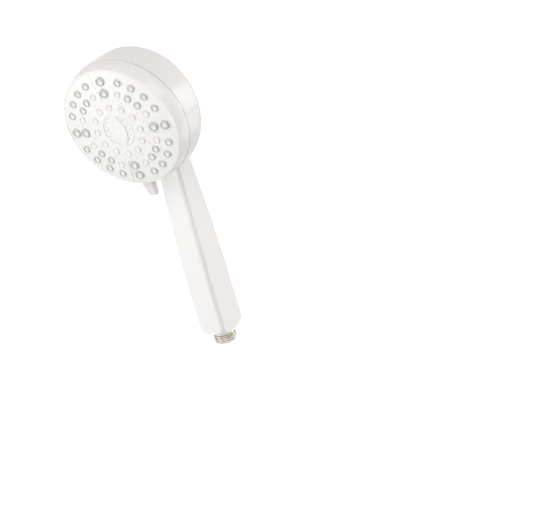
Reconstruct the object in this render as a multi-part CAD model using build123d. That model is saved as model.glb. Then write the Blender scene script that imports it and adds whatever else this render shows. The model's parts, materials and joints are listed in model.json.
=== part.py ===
"""Handheld shower head: a tilted round spray head on a straight squared handle.

Millimetres. The handle's axis is Z and the origin is the centre of the inlet's
end face. The spray side faces -Y. Everything round in the head is drawn in the
head's own frame: its z is the head axis, pointing out of the spray face, its y
points to the top of the head, and z = 0 is where the outer ring of nozzles
meets the face.
"""

import os
from math import cos, hypot, radians, sin, sqrt, tan

from build123d import *

# Clearances and walls
FIT = 0.1               # between pieces that are pressed or clamped together
RUN = 0.05              # radial clearance of a running fit
SLACK = 0.3             # between pieces that pass each other
SHELL_WALL = 2.6        # moulded shell of the handle and the back housing

# Inlet: a half-inch parallel pipe thread
THREAD_R = 10.48
THREAD_LENGTH = 10.0
COLLAR_R = 10.9
COLLAR_HEIGHT = 2.2
SHANK_R = 9.8
SHANK_LENGTH = 22.0
WATERWAY_R = 5.2
INLET_POCKET_R = 7.5
INLET_POCKET_DEPTH = 6.2
SCREEN_THICKNESS = 0.5
SCREEN_RIM = 0.8
SCREEN_HOLE = 0.9
SCREEN_PITCH = 1.5
REGULATOR_HEIGHT = 4.0
REGULATOR_JET_R = 0.8
REGULATOR_JET_RING_R = 3.4
REGULATOR_JETS = 6
REGULATOR_SEAL_R = 0.6

# Water tube
TUBE_R = 7.0
TUBE_WALL = 1.75
TUBE_SOCKET_DEPTH = 8.0
TUBE_SEAL_R = 0.5
TUBE_SEAL_INSET = 3.0   # seal's middle from the tube's end

# Handle: squared section with softened corners, deeper than wide at its foot, slimmer towards the head
HANDLE_FOOT_WIDTH = 25.2
HANDLE_FOOT_DEPTH = 35.2
HANDLE_NECK_WIDTH = 22.4
HANDLE_NECK_DEPTH = 23.4
HANDLE_CORNER_R = 3.6
HANDLE_FOOT_ROUND = 8.0 # round that draws the corners in to the foot's circle
HANDLE_STRAIGHT = 25.0  # straight length above the foot

# Head placing, from the foot of the handle
HEAD_RISE = 218.3       # foot of the handle up to the head's datum
HEAD_REACH = 58.8       # handle axis forward to the head's datum
HEAD_TILT = 9.3         # degrees that the spray face leans down

# Spray face
FACE_DOME_R = 300.0
FACE_CROWN = 3.4        # dome's top above the datum
FACE_THICKNESS = 2.2
FACE_RIM_WIDTH = 2.6
FACE_RIM_DEPTH = 4.95   # rim's back face behind the datum
WEDGE_DEPTH = 0.45
WEDGE_INNER_HALF = 4.2
WEDGE_OUTER_HALF = 10.4
MIST_HOLE_R = 0.45
MIST_ANGLES = (12.0, 30.0, 60.0, 78.0)

# Nozzles: base radius, tip radius, rise above the face, bore radius
LARGE_BASE_R = 4.0
LARGE_TIP_R = 2.0
LARGE_RISE = 2.5
LARGE_BORE_R = 0.8
SMALL_BASE_R = 3.3
SMALL_TIP_R = 1.7
SMALL_RISE = 2.1
SMALL_BORE_R = 0.6
WHITE_BASE_R = 3.0
WHITE_TIP_R = 1.9
WHITE_RISE = 1.5
WHITE_BORE_R = 0.5
COLLAR_RISE = 0.2       # straight foot of a nozzle above the face
SECTORS = 4
LARGE_ANGLES = (0.0,)
OUTER_ANGLES = (21.0, 37.0, 53.0, 69.0)
SECOND_GREY_ANGLES = (37.0, 53.0)
SECOND_WHITE_ANGLES = (21.0, 69.0)
THIRD_COUNT = 12
WHITE_TO_SECOND = 12.9  # third ring out to the second
SECOND_TO_OUTER = 10.5  # second ring out to the outer one
OUTER_RING_ROOM = 0.3   # between the outer ring's web and the flow plate's edge
WEB_THICKNESS = 1.2
WEB_MARGIN = 0.9        # web around a nozzle's base
WEB_STRIP = 3.0

# Selector ring and lever
RING_LIP = 1.6          # width of the rounded front lip
RING_FLARE = 2.0        # how much wider the ring is at the seam than at its lip
RING_BACK = 15.9        # ring's back edge behind the datum
RING_BULGE = 0.5
RING_WALL = 2.45
RING_LEDGE = 2.0        # ledge that the face rim sits on
LEVER_LENGTH = 13.0
LEVER_ROOT_WIDTH = 13.0
LEVER_TIP_WIDTH = 9.0
LEVER_ROOT_THICKNESS = 7.0
LEVER_TIP_THICKNESS = 5.2
LEVER_DEPTH = 8.0       # lever's middle behind the datum
LEVER_ROUND = 2.3
LEVER_TIP_ROUND = 2.2
TONGUE_WIDTH = 8.0
TONGUE_THICKNESS = 3.6

# Massage chamber
CAP_R = 15.1
CAP_MARGIN = 3.1        # cap's edge to the web of the third ring
CAP_THICKNESS = 2.8
CAP_RISE = 0.3
CAP_LEDGE = 1.15        # cap's edge beyond its skirt
CAP_SKIRT_WALL = 1.0
CHAMBER_FLOOR = 7.0     # chamber's floor behind the datum
CRESCENT_RIM = 1.1      # crescent pocket to the cap's edge
CRESCENT_DEPTH = 0.7
ISLAND_HALF = 8.0       # half the width left between the two crescents
ISLAND_SIDE_R = 20.0
JET_HOLE_R = 0.5
JET_OUTER_INSET = 3.3   # rows of jets in a crescent, from the cap's edge
JET_INNER_INSET = 5.4
JET_OUTER_ANGLES = (-48.0, -24.0, 0.0, 24.0, 48.0)
JET_INNER_ANGLES = (-14.0, 14.0)
PIN_R = 1.55
PIN_SEAT_R = 3.0
PIN_SEAT_DEPTH = 1.4
ROTOR_CLEARANCE = 0.6
ROTOR_SHUTTER = 1.2
ROTOR_BLADES = 8
ROTOR_BLADE_THICKNESS = 1.0
ROTOR_HUB_R = 3.4
ROTOR_WINDOW = 120.0

# Flow plate and mode disc
FLOW_BACK = 11.0        # flow plate's back face behind the datum
FLANGE_THICKNESS = 2.4
CHANNEL_WIDTH = 6.4
CHANNEL_DEPTH = 4.0
FEED_R = 1.6
FEED_SLOT_DEPTH = 2.0
FEED_INSET = 5.3        # chamber's feed from the cap's edge
MODE_MARGIN = 9.0       # mode disc's edge to the housing's bore
MODE_THICKNESS = 3.9
MODE_STOPS = (-60.0, -30.0, 0.0, 30.0, 60.0)
PORT_RING_R = 26.0
PORT_R = 4.0
DETENT_RING_R = 36.0
DISC_SEAL_INSET = 2.6
DISC_SEAL_R = 0.8
ENGINE_BOSS_R = 2.3
ENGINE_BOSS_DEPTH = 8.0  # boss's end behind the datum

# Valve base
BASE_GAP = 0.6          # mode disc to valve base
BASE_THICKNESS = 3.4
PIVOT_R = 5.0
WASHER_POCKET = 0.5
PIVOT_END_PLAY = 0.2
WASHER_R = 6.5
WASHER_THICKNESS = 0.8
SEAL_R = 6.6
SEAL_LENGTH = 4.9
PORT_SPRING_LENGTH = 6.6
PORT_SPRING_WIRE_R = 0.45
PORT_SPRING_TURNS = 4
SOCKET_WALL = 2.4
SOCKET_STEP = 1.4       # wall between the seal's pocket and the tube's socket
DETENT_R = 2.0
DETENT_LENGTH = 6.0
NOTCH_ROOM = 0.45       # notch's radius beyond the plunger's
DETENT_RIDE = 0.15      # nose behind the mode disc between notches
DETENT_TRAVEL = 0.75    # how far the nose springs into a notch
DETENT_PUSH = 0.4       # how far the plunger can be pushed back
DETENT_WALL = 2.0
DETENT_SPRING_LENGTH = 5.0
DETENT_SPRING_WIRE_R = 0.25
DETENT_SPRING_TURNS = 5
BASE_SCREW_INSET = 7.0
BASE_SCREWS = 4
BASE_SCREW_START = 45.0
BASE_BOSS_R = 4.2

# Screws
SCREW_R = 1.2
SCREW_HEAD_R = 2.2
SCREW_HEAD_HEIGHT = 1.6
SCREW_SINK = 0.2        # head below the face it is sunk in
ENGINE_SCREW_ANGLES = (45.0,)
ENGINE_SCREW_BITE = 4.5
BASE_SCREW_BITE = 7.0
PIVOT_SCREW_R = 1.7
PIVOT_SCREW_HEAD_R = 4.0
PIVOT_SCREW_HEAD_HEIGHT = 2.4
PIVOT_SCREW_LENGTH = 12.0
DRIVE_WIDTH = 0.3       # cross recess, as a share of the head's radius
PILOT_TIP = 1.0         # pilot hole past the screw's tip

# Back housing and neck
SEAM_GAP = 0.65
LIP_WALL = 1.4          # inner lip that closes the seam from inside
LIP_REACH = 3.2
LIP_ROOT = 4.0
DRUM_DEPTH = 31.0       # seam's centre to the back
BACK_ROUND = 12.0
BACK_DOME = 2.5
NECK_SPREAD = 48.0      # neck's width at its end, near the top of the back
NECK_TOP_MARGIN = 13.0  # from the neck's end to the top of the head
NECK_ROOT = 28.0        # neck's front line, that far inside the back at its end
NECK_SINK = 3.0         # neck's back line, that far inside the back at its end
NECK_BLEND = 4.0

# Derived places: the head's frame
FOOT_Z = THREAD_LENGTH + COLLAR_HEIGHT
TILT = radians(HEAD_TILT)
HEAD = Plane(
    origin=(0, -HEAD_REACH, FOOT_Z + HEAD_RISE),
    x_dir=(1, 0, 0),
    z_dir=(0, -cos(TILT), -sin(TILT)),
)

# Derived places: the turning stack, front to back
THIRD_RING_R = CAP_R + CAP_MARGIN + WEB_MARGIN + WHITE_BASE_R
SECOND_RING_R = THIRD_RING_R + WHITE_TO_SECOND
OUTER_RING_R = SECOND_RING_R + SECOND_TO_OUTER
ENGINE_SCREW_RING_R = (SECOND_RING_R + THIRD_RING_R) / 2
FLOW_R = OUTER_RING_R + LARGE_BASE_R + WEB_MARGIN + OUTER_RING_ROOM
FACE_R = FLOW_R + SLACK + FACE_RIM_WIDTH
RING_SEAT_R = FACE_R + FIT
RING_R = FACE_R + RING_LIP + RING_FLARE
RING_BORE_R = RING_R - RING_WALL
CAP_SKIRT_R = CAP_R - CAP_LEDGE
JET_OUTER_R = CAP_R - JET_OUTER_INSET
JET_INNER_R = CAP_R - JET_INNER_INSET
CHAMBER_FEED_R = CAP_R - FEED_INSET
CAP_BACK = FACE_CROWN + CAP_RISE - CAP_THICKNESS
ROTOR_R = CAP_SKIRT_R - CAP_SKIRT_WALL - ROTOR_CLEARANCE
ROTOR_BOTTOM = -CHAMBER_FLOOR + SLACK
ROTOR_TOP = CAP_BACK - PIN_SEAT_DEPTH - SLACK
LEDGE_TOP = -FACE_RIM_DEPTH - RUN
LEDGE_BOTTOM = LEDGE_TOP - RING_LEDGE
WEB_TOP = -FACE_THICKNESS - FIT
WEB_BOTTOM = WEB_TOP - WEB_THICKNESS
FLOW_FRONT = WEB_BOTTOM - FIT
MODE_FRONT = -FLOW_BACK - FIT
MODE_BACK = MODE_FRONT - MODE_THICKNESS

# Derived places: the fixed pieces behind it
BODY_FRONT = -RING_BACK - SEAM_GAP
BODY_BORE_R = RING_BORE_R - SLACK - LIP_WALL
MODE_R = BODY_BORE_R - MODE_MARGIN
DISC_SEAL_RING_R = MODE_R - DISC_SEAL_INSET
BASE_R = BODY_BORE_R - SLACK
BASE_SCREW_RING_R = BODY_BORE_R - BASE_SCREW_INSET
BASE_FRONT = MODE_BACK - BASE_GAP
BASE_BACK = BASE_FRONT - BASE_THICKNESS
PIVOT_TOP = MODE_FRONT - WASHER_POCKET + PIVOT_END_PLAY
WASHER_TOP = PIVOT_TOP + WASHER_THICKNESS
WASHER_WELL_R = WASHER_R + SLACK
SEAL_FRONT = MODE_BACK - FIT
SEAL_BACK = SEAL_FRONT - SEAL_LENGTH
SPRING_BACK = SEAL_BACK - FIT - PORT_SPRING_LENGTH
POCKET_BACK = SPRING_BACK - FIT
SOCKET_FRONT = POCKET_BACK - SOCKET_STEP
SOCKET_BACK = SOCKET_FRONT - TUBE_SOCKET_DEPTH
SOCKET_R = max(SEAL_R, TUBE_R) + FIT + SOCKET_WALL
DETENT_NOSE = MODE_BACK - DETENT_RIDE
DETENT_BACK = DETENT_NOSE - DETENT_LENGTH
DETENT_SPRING_FRONT = DETENT_BACK - DETENT_PUSH - FIT
DETENT_POCKET_BACK = DETENT_SPRING_FRONT - DETENT_SPRING_LENGTH - FIT

# Derived places: the back housing
SEAM_CENTRE = HEAD.from_local_coords((0, 0, -RING_BACK))
DRUM = Plane(origin=SEAM_CENTRE, x_dir=(1, 0, 0), z_dir=(0, -1, 0))
BACK_Y = SEAM_CENTRE.Y + DRUM_DEPTH
DRUM_BOTTOM = SEAM_CENTRE.Z - RING_R
NECK_TOP = SEAM_CENTRE.Z + RING_R - NECK_TOP_MARGIN
GRIP_BEND_Z = FOOT_Z + HANDLE_STRAIGHT
CAVITY_FLOOR = FOOT_Z + SHANK_LENGTH + SHELL_WALL

# Derived places: the water tube's bend, in the plane of the handle and the head axis
TUBE_LOW = FOOT_Z + SHANK_LENGTH - TUBE_SOCKET_DEPTH + SLACK
TUBE_TOP = HEAD.from_local_coords((0, -PORT_RING_R, SOCKET_FRONT - SLACK))
BEND_RUN = -TUBE_TOP.Y / cos(TILT)
BEND_CORNER = Vector(0, 0, TUBE_TOP.Z + BEND_RUN * sin(TILT))
BEND_R = (BEND_RUN - TUBE_SOCKET_DEPTH) / tan((radians(90) + TILT) / 2)

UP = 90.0               # angle of the head's top, counted from its x
LONG = 4 * (HEAD_REACH + FACE_R)  # past every piece
CENTRED_UP = (Align.CENTER, Align.CENTER, Align.MIN)


def on_head(shape):
    """Moves a shape from the head's own frame into place."""
    return HEAD.location * shape


def polar(radius, angle):
    """Point at an angle in degrees, counted from the head's x."""
    return (radius * cos(radians(angle)), radius * sin(radians(angle)))


def spots(radius, angles, count=SECTORS):
    """Points at the given angles in each of a number of equal sectors."""
    step = 360 / count
    return [polar(radius, step * sector + angle) for sector in range(count) for angle in angles]


def rod(radius, low, high, spot=(0, 0)):
    """Round bar along z between two heights."""
    return Pos(spot[0], spot[1], low) * Cylinder(radius, high - low, align=CENTRED_UP)


def tube(outer, inner, low, high, spot=(0, 0)):
    """Round tube along z between two heights."""
    return rod(outer, low, high, spot) - rod(inner, low, high, spot)


def turned(*points):
    """Solid turned about z from a closed outline of (radius, height) points."""
    outline = Polyline([(r, 0, z) for r, z in points], close=True)
    return revolve(make_face(outline), Axis.Z)


def seal_ring(ring_r, section_r, height, spot=(0, 0)):
    """Round-section ring about z."""
    return Pos(spot[0], spot[1], height) * Torus(ring_r, section_r)


def dome(radius, depth=0.0):
    """Height of the face's dome at a radius, or of a layer that far above it."""
    return FACE_CROWN - FACE_DOME_R + sqrt(FACE_DOME_R**2 - radius**2) + depth


def dome_layer(inner, outer, top, bottom):
    """Ring cut from a shell that follows the face's dome."""
    middle = (inner + outer) / 2
    arcs = []
    for depth in (top, bottom):
        points = [(r, 0, dome(r, depth)) for r in (inner, middle, outer)]
        arcs.append(ThreePointArc(*points))
    sides = [
        Line((r, 0, dome(r, top)), (r, 0, dome(r, bottom)))
        for r in (inner, outer)
    ]
    return revolve(make_face(arcs + sides), Axis.Z)


def screw(radius, length, head_r, head_height):
    """Pan-head screw with a cross recess: tip down, head's underside at z = 0."""
    head = rod(head_r, 0, head_height)
    head = chamfer(head.edges().group_by(Axis.Z)[-1], head_height / 4)
    slot = Box(2 * head_r * (1 - DRIVE_WIDTH), head_r * DRIVE_WIDTH, head_height / 2)
    slot = Pos(0, 0, head_height) * (slot + Rot(0, 0, 90) * slot)
    shank = chamfer(rod(radius, -length, 0).edges().group_by(Axis.Z)[0], radius / 2)
    return head - slot + shank


def coil(mean_r, wire_r, length, turns):
    """Helical spring standing on z = 0."""
    path = Helix(pitch=(length - 2 * wire_r) / turns, height=length - 2 * wire_r, radius=mean_r)
    section = Plane(origin=path @ 0, z_dir=path % 0) * Circle(wire_r)
    return Pos(0, 0, wire_r) * sweep(section, path)


# Inlet

def inlet_nipple():
    """Threaded inlet with its collar and the shank bonded into the handle."""
    top = FOOT_Z + SHANK_LENGTH
    socket_floor = top - TUBE_SOCKET_DEPTH
    return turned(
        (INLET_POCKET_R, 0),
        (THREAD_R, 0),
        (THREAD_R, THREAD_LENGTH),
        (COLLAR_R, THREAD_LENGTH),
        (COLLAR_R, FOOT_Z),
        (SHANK_R, FOOT_Z),
        (SHANK_R, top),
        (TUBE_R + FIT, top),
        (TUBE_R + FIT, socket_floor),
        (WATERWAY_R, socket_floor),
        (WATERWAY_R, INLET_POCKET_DEPTH),
        (INLET_POCKET_R, INLET_POCKET_DEPTH),
    )


REGULATOR_TOP = INLET_POCKET_DEPTH - FIT
REGULATOR_BOTTOM = REGULATOR_TOP - REGULATOR_HEIGHT
REGULATOR_SEAL_RING_R = INLET_POCKET_R - RUN - REGULATOR_SEAL_R
REGULATOR_SEAL_Z = (REGULATOR_TOP + REGULATOR_BOTTOM) / 2


def flow_regulator():
    """Disc with a ring of jets and a groove for its seal."""
    disc = rod(INLET_POCKET_R - FIT, REGULATOR_BOTTOM, REGULATOR_TOP)
    disc -= seal_ring(REGULATOR_SEAL_RING_R, REGULATOR_SEAL_R + RUN, REGULATOR_SEAL_Z)
    jets = spots(REGULATOR_JET_RING_R, (0,), REGULATOR_JETS)
    return disc - [rod(REGULATOR_JET_R, REGULATOR_BOTTOM, REGULATOR_TOP, jet) for jet in jets]


def inlet_screen():
    """Flat screen with square holes, under the regulator."""
    radius = INLET_POCKET_R - FIT
    reach = radius - SCREEN_RIM - SCREEN_HOLE / sqrt(2)
    across = 2 * int(reach / SCREEN_PITCH) + 1
    grid = GridLocations(SCREEN_PITCH, SCREEN_PITCH, across, across)
    places = [place for place in grid if place.position.length <= reach]
    holes = [place * Rectangle(SCREEN_HOLE, SCREEN_HOLE) for place in places]
    top = REGULATOR_BOTTOM - FIT
    return Pos(0, 0, top - SCREEN_THICKNESS) * extrude(Circle(radius) - holes, SCREEN_THICKNESS)


# Water tube

TUBE_SEAL_RING_R = TUBE_R + FIT - RUN - TUBE_SEAL_R
TUBE_LOW_SEAL_Z = TUBE_LOW + TUBE_SEAL_INSET
TUBE_TOP_SEAL_Z = SOCKET_FRONT - SLACK - TUBE_SEAL_INSET


def tube_seals(section_r):
    """The rings at the tube's two ends, or the cutters for their grooves."""
    low = seal_ring(TUBE_SEAL_RING_R, section_r, TUBE_LOW_SEAL_Z)
    top = on_head(seal_ring(TUBE_SEAL_RING_R, section_r, TUBE_TOP_SEAL_Z, (0, -PORT_RING_R)))
    return low, top


def tube_sweep(radius):
    """Round bar up the handle, round the bend and forward into the valve base."""
    path = FilletPolyline((0, 0, TUBE_LOW), BEND_CORNER, TUBE_TOP, radius=BEND_R)
    return sweep(Pos(0, 0, TUBE_LOW) * Circle(radius), path)


def water_tube():
    """Tube from the inlet to the valve base, grooved for its seals."""
    return tube_sweep(TUBE_R) - tube_sweep(TUBE_R - TUBE_WALL) - list(tube_seals(TUBE_SEAL_R + RUN))


# Handle and back housing

def rail(foot, neck, top, start):
    """Side line of the handle and neck: straight, then drawn in, then flowing into the head."""
    straight = Line((foot, start), (foot, GRIP_BEND_Z))
    drawn_in = TangentArc((foot, GRIP_BEND_Z), (neck, DRUM_BOTTOM), tangent=(0, 1))
    flowing = TangentArc((neck, DRUM_BOTTOM), (top, NECK_TOP), tangent=drawn_in % 1)
    return [straight, drawn_in, flowing]


def between(left, right):
    """Face between two side lines."""
    ends = [Line(left[0] @ 0, right[0] @ 0), Line(left[-1] @ 1, right[-1] @ 1)]
    return make_face(left + right + ends)


def spine(inset, start):
    """Handle and neck as one form, drawn in by a wall, from a height upwards."""
    foot_x, foot_y = HANDLE_FOOT_WIDTH / 2 - inset, HANDLE_FOOT_DEPTH / 2 - inset
    neck_x, neck_y = HANDLE_NECK_WIDTH / 2 - inset, HANDLE_NECK_DEPTH / 2 - inset
    spread = NECK_SPREAD / 2 - inset
    front = rail(-foot_y, -neck_y, BACK_Y - NECK_ROOT + inset, start)
    back = rail(foot_y, neck_y, BACK_Y - NECK_SINK - inset, start)
    sides = [rail(side * foot_x, side * neck_x, side * spread, start) for side in (-1, 1)]
    block = extrude(Plane.YZ * between(front, back), LONG / 2, both=True)
    block &= extrude(Plane.XZ * between(*sides), LONG / 2, both=True)
    corners = block.edges().filter_by(lambda edge: abs((edge @ 1).Z - (edge @ 0).Z) > HANDLE_FOOT_ROUND)
    return fillet(corners, HANDLE_CORNER_R - inset)


def drum(inset):
    """Round back housing about a level axis, drawn in by a wall."""
    radius = RING_R - inset
    depth = -DRUM_DEPTH + inset
    front = RING_BACK
    outline = Polyline(
        (0, 0, front), (radius, 0, front), (radius, 0, depth), (0, 0, depth - BACK_DOME), close=True
    )
    section = make_face(outline)
    corner = section.vertices().sort_by(Axis.X)[-2:].sort_by(Axis.Z)[0]
    section = fillet(corner, BACK_ROUND - inset)
    return DRUM.location * revolve(section, Axis((0, 0, 0), (0, 0, 1)))


def foot_form():
    """Room below which the handle's corners are rounded in to a circle at its foot, turned about its axis."""
    corner_x, corner_y = HANDLE_FOOT_WIDTH / 2 - HANDLE_CORNER_R, HANDLE_FOOT_DEPTH / 2 - HANDLE_CORNER_R
    reach = hypot(corner_x, corner_y) + HANDLE_CORNER_R + FIT
    rim, top = reach - HANDLE_FOOT_ROUND, FOOT_Z + HANDLE_FOOT_ROUND
    round_edge = TangentArc((rim, 0, FOOT_Z), (reach, 0, top), tangent=(1, 0, 0))
    walls = Polyline(
        (reach, 0, top), (LONG, 0, top), (LONG, 0, LONG), (0, 0, LONG), (0, 0, FOOT_Z), (rim, 0, FOOT_Z)
    )
    return revolve(make_face([round_edge, walls]), Axis.Z)


BASE_SCREW_SPOTS = spots(BASE_SCREW_RING_R, (BASE_SCREW_START,), BASE_SCREWS)
BASE_SCREW_SEAT = BASE_FRONT - SCREW_SINK - SCREW_HEAD_HEIGHT
BASE_SCREW_LENGTH = BASE_SCREW_SEAT - BASE_BACK + BASE_SCREW_BITE


def handle_body():
    """Handle and back housing in one moulding, hollow, with its screw bosses."""
    front = on_head(Pos(0, 0, BODY_FRONT) * Box(LONG, LONG, LONG, align=CENTRED_UP))
    housing = drum(0) - front
    grip = spine(0, 0) & foot_form()
    outside = housing + grip
    outside = fillet(new_edges(housing, grip, combined=outside), NECK_BLEND)
    body = outside - (drum(SHELL_WALL) & on_head(rod(BODY_BORE_R, -LONG, LONG)))
    body -= spine(SHELL_WALL, CAVITY_FLOOR)
    body -= rod(SHANK_R + FIT, 0, CAVITY_FLOOR)
    body -= on_head(rod(SOCKET_R + SLACK, SOCKET_BACK - SOCKET_R, 0, (0, -PORT_RING_R)))
    body -= tube_sweep(TUBE_R + SLACK)
    body += on_head(tube(RING_BORE_R - SLACK, BODY_BORE_R, BODY_FRONT - LIP_ROOT, BODY_FRONT + LIP_REACH))
    for spot in BASE_SCREW_SPOTS:
        body += on_head(rod(BASE_BOSS_R, -LONG, BASE_BACK, spot)) & outside
        pilot = BASE_BACK - BASE_SCREW_BITE - PILOT_TIP
        body -= on_head(rod(SCREW_R + FIT, pilot, BASE_BACK, spot))
    return body


# Selector ring and lever

def ring_outline(inner):
    """Closed outline of the ring's outer form, filled in to a radius."""
    lip_r = RING_SEAT_R + RING_LIP / 2
    lip_top = dome(FACE_R) - RUN
    shoulder_r = FACE_R + RING_LIP
    shoulder = lip_top - RING_LIP / 2
    middle = (shoulder - RING_BACK) / 2
    slant = sin(radians(45))
    lip_middle = (lip_r + (shoulder_r - lip_r) * slant, 0, shoulder + (lip_top - shoulder) * slant)
    return make_face([
        Line((inner, 0, -RING_BACK), (inner, 0, lip_top)),
        Line((inner, 0, lip_top), (lip_r, 0, lip_top)),
        ThreePointArc((lip_r, 0, lip_top), lip_middle, (shoulder_r, 0, shoulder)),
        ThreePointArc(
            (shoulder_r, 0, shoulder),
            ((shoulder_r + RING_R) / 2 + RING_BULGE, 0, middle),
            (RING_R, 0, -RING_BACK),
        ),
        Line((RING_R, 0, -RING_BACK), (inner, 0, -RING_BACK)),
    ])


def ring_envelope(inner):
    """The ring's outer form as a solid, filled in to a radius."""
    return revolve(ring_outline(inner), Axis.Z)


def tongue(clearance):
    """The lever's tongue through the ring's wall, or the cutter for its slot."""
    inner = RING_BORE_R + FIT - clearance
    outer = RING_R + RING_BULGE
    block = Box(
        TONGUE_WIDTH + 2 * clearance, outer - inner, TONGUE_THICKNESS + 2 * clearance
    )
    return Pos(0, -(inner + outer) / 2, -LEVER_DEPTH) * block


def selector_ring():
    """Bezel that carries the spray face on an inner ledge."""
    ring = ring_envelope(FLOW_R + SLACK)
    ring -= rod(RING_SEAT_R, LEDGE_TOP, FACE_CROWN)
    ring -= rod(RING_BORE_R, -RING_BACK, LEDGE_BOTTOM)
    return on_head(ring - tongue(FIT))


def selector_lever():
    """Finger tab at the bottom of the ring, with a tongue through the ring's wall."""
    root = Plane(origin=(0, -RING_BORE_R, -LEVER_DEPTH), x_dir=(1, 0, 0), z_dir=(0, -1, 0))
    tip = Plane(origin=(0, -RING_R - LEVER_LENGTH, -LEVER_DEPTH), x_dir=(1, 0, 0), z_dir=(0, -1, 0))
    tab = loft([
        root * RectangleRounded(LEVER_ROOT_WIDTH, LEVER_ROOT_THICKNESS, LEVER_ROUND),
        tip * RectangleRounded(LEVER_TIP_WIDTH, LEVER_TIP_THICKNESS, LEVER_ROUND),
    ])
    tab = fillet(tab.faces().sort_by(Axis.Y)[0].edges(), LEVER_TIP_ROUND)
    tab -= ring_envelope(FLOW_R)
    tab -= rod(FACE_R, -LONG, LONG)
    return on_head(tab + tongue(0))


# Spray face and nozzles

LARGE_SPOTS = spots(OUTER_RING_R, LARGE_ANGLES) + spots(SECOND_RING_R, LARGE_ANGLES)
SMALL_SPOTS = spots(OUTER_RING_R, OUTER_ANGLES) + spots(SECOND_RING_R, SECOND_GREY_ANGLES)
WHITE_SPOTS = spots(SECOND_RING_R, SECOND_WHITE_ANGLES) + spots(THIRD_RING_R, LARGE_ANGLES, THIRD_COUNT)
ENGINE_SCREW_SPOTS = spots(ENGINE_SCREW_RING_R, ENGINE_SCREW_ANGLES)


def spot_dome(spot):
    """Height of the face's dome at a point."""
    return dome(sqrt(spot[0] ** 2 + spot[1] ** 2))


def nozzle(spot, base_r, tip_r, rise):
    """Soft nozzle: a straight foot in the web, then a cone."""
    face = spot_dome(spot)
    cone = turned(
        (0, face + WEB_BOTTOM),
        (base_r, face + WEB_BOTTOM),
        (base_r, face + COLLAR_RISE),
        (tip_r, face + rise),
        (0, face + rise),
    )
    return Pos(spot[0], spot[1], 0) * cone


def bore(spot, radius):
    """Cutter for the water's way through a nozzle."""
    return rod(radius, -FLOW_BACK, FACE_CROWN + LARGE_RISE, spot)


def pad(spot, base_r, towards):
    """Web around a nozzle, with a strip to the ring of web that it belongs to."""
    reach = sqrt(spot[0] ** 2 + spot[1] ** 2)
    turn = Vector(spot[0], spot[1], 0).get_signed_angle(Vector(1, 0, 0))
    strip = Pos((reach + towards) / 2, 0) * Rectangle(abs(towards - reach), WEB_STRIP)
    return Pos(spot[0], spot[1]) * Circle(base_r + WEB_MARGIN) + Rot(0, 0, -turn) * strip


def web(sketch):
    """Thin web of that outline behind the face."""
    layer = dome_layer(CAP_R, FLOW_R, WEB_TOP, WEB_BOTTOM)
    return Pos(0, 0, -LONG / 2) * extrude(sketch, LONG) & layer


def below_web():
    """Cutter that keeps the nozzles' feet from standing out behind the web."""
    return dome_layer(CAP_R, FACE_R, WEB_BOTTOM, WEB_BOTTOM - LARGE_BASE_R)


def ring_of_web(radius, base_r):
    """Ring of web under a ring of nozzles."""
    half = base_r + WEB_MARGIN
    return Circle(radius + half) - Circle(radius - half)


def grey_nozzles():
    """Grey rubber nozzles of the outer and second rings on one web."""
    sketch = ring_of_web(OUTER_RING_R, LARGE_BASE_R)
    for spot in spots(SECOND_RING_R, LARGE_ANGLES):
        sketch += pad(spot, LARGE_BASE_R, OUTER_RING_R)
    for spot in spots(SECOND_RING_R, SECOND_GREY_ANGLES):
        sketch += pad(spot, SMALL_BASE_R, OUTER_RING_R)
    solid = web(sketch)
    solid += [nozzle(spot, LARGE_BASE_R, LARGE_TIP_R, LARGE_RISE) for spot in LARGE_SPOTS]
    solid += [nozzle(spot, SMALL_BASE_R, SMALL_TIP_R, SMALL_RISE) for spot in SMALL_SPOTS]
    bores = [bore(spot, LARGE_BORE_R) for spot in LARGE_SPOTS]
    bores += [bore(spot, SMALL_BORE_R) for spot in SMALL_SPOTS]
    return on_head(solid - bores - below_web())


def white_nozzles():
    """White rubber nozzles of the third ring, and those of the second, on one web."""
    sketch = ring_of_web(THIRD_RING_R, WHITE_BASE_R)
    for spot in spots(SECOND_RING_R, SECOND_WHITE_ANGLES):
        sketch += pad(spot, WHITE_BASE_R, THIRD_RING_R)
    solid = web(sketch)
    solid += [nozzle(spot, WHITE_BASE_R, WHITE_TIP_R, WHITE_RISE) for spot in WHITE_SPOTS]
    bores = [bore(spot, WHITE_BORE_R) for spot in WHITE_SPOTS]
    return on_head(solid - bores - below_web())


def wedges():
    """Cutter for the shallow wedges that the large nozzles stand in."""
    inner = SECOND_RING_R - LARGE_BASE_R - WEB_MARGIN
    outer = FACE_R + RING_LIP
    outline = Polyline(
        (inner, -WEDGE_INNER_HALF), (outer, -WEDGE_OUTER_HALF),
        (outer, WEDGE_OUTER_HALF), (inner, WEDGE_INNER_HALF), close=True,
    )
    prism = Pos(0, 0, -FACE_RIM_DEPTH) * extrude(make_face(outline), 2 * FACE_RIM_DEPTH)
    layer = dome_layer(inner - LARGE_BASE_R, outer, FACE_CROWN, -WEDGE_DEPTH)
    blocks = [Rot(0, 0, 360 / SECTORS * sector) * prism for sector in range(SECTORS)]
    return [block & layer for block in blocks]


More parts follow.
